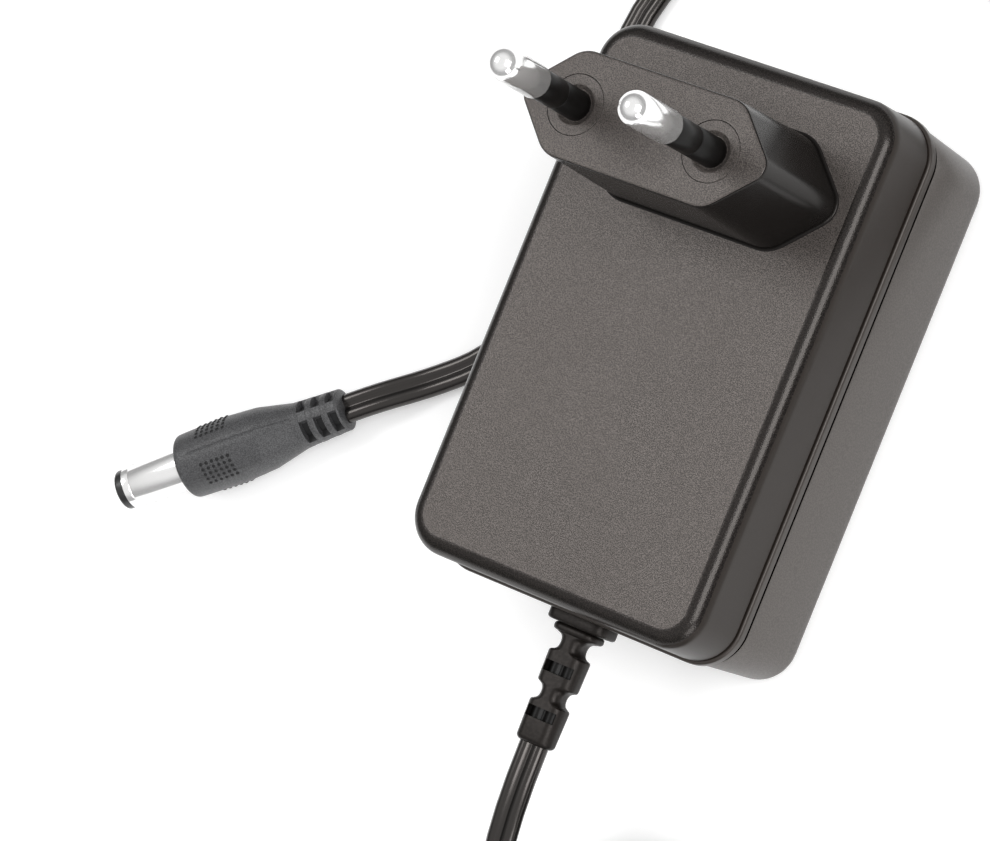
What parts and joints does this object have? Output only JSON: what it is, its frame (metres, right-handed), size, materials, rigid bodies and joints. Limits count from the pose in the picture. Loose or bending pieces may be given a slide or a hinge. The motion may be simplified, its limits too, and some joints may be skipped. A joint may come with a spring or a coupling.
{
  "type": "plug-in power supply",
  "caption": "Plug-in power supply: a rounded dark case with a flat mains plug block on its front, a segmented strain relief and a coiled flat lead that ends in a barrel plug.",
  "frame": {"origin": "middle of the plain back face, on which the adaptor lies", "axes": "+X across the case, +Y along the case towards the end with the plug block, away from the lead, +Z out of the front, along the mains pins"},
  "size_m": [0.1334, 0.1627, 0.0633],
  "materials": {
    "case_plastic": "fine spark-eroded texture, dark grey-brown",
    "sleeve_plastic": "glossy black",
    "plated_brass": "bright nickel plate",
    "relief_pvc": "soft satin black",
    "cord_pvc": "glossy black, flexible",
    "grip_pvc": "matte dark grey",
    "insulator": "satin black",
    "tie_plastic": "black",
    "board": "green laminate",
    "ferrite": "sintered, dark grey",
    "bobbin_plastic": "moulded black",
    "winding_tape": "yellow polyester tape",
    "copper_wire": "enamelled copper",
    "capacitor_sleeve": "shrunk sleeve",
    "ceramic_coat": "dipped coat",
    "chip_epoxy": "moulded epoxy",
    "fuse_case": "moulded brown",
    "heatsink_aluminium": "mill finish",
    "wire_pvc": "white insulation"
  },
  "bodies": {
    "root": {"rear_case": "case_plastic", "front_case": "case_plastic", "pin_insert_left": "case_plastic", "pin_insert_right": "case_plastic", "mains_pin_left": "plated_brass", "mains_pin_right": "plated_brass", "pin_sleeve_left": "sleeve_plastic", "pin_sleeve_right": "sleeve_plastic", "mains_lead_left": "wire_pvc", "mains_lead_right": "wire_pvc", "circuit_board": "board", "input_fuse": "fuse_case", "bridge_rectifier": "chip_epoxy", "choke_core": "ferrite", "choke_winding": "copper_wire", "bulk_capacitor_1": "capacitor_sleeve", "bulk_capacitor_2": "capacitor_sleeve", "controller_chip": "chip_epoxy", "aux_capacitor": "capacitor_sleeve", "transformer_core_front": "ferrite", "transformer_core_rear": "ferrite", "transformer_bobbin": "bobbin_plastic", "transformer_winding": "winding_tape", "y_capacitor": "ceramic_coat", "optocoupler": "chip_epoxy", "output_heatsink": "heatsink_aluminium", "output_rectifier": "chip_epoxy", "output_capacitor_1": "capacitor_sleeve", "output_capacitor_2": "capacitor_sleeve", "output_lead_left": "wire_pvc", "output_lead_right": "wire_pvc", "strain_relief": "relief_pvc", "dc_cord": "cord_pvc", "dc_cord_coil": "cord_pvc", "dc_cord_end": "cord_pvc", "cord_tie": "tie_plastic", "dc_plug_grip": "grip_pvc", "dc_plug_barrel": "plated_brass", "dc_plug_tip": "insulator", "dc_plug_contact": "plated_brass"}
  },
  "joints": []
}
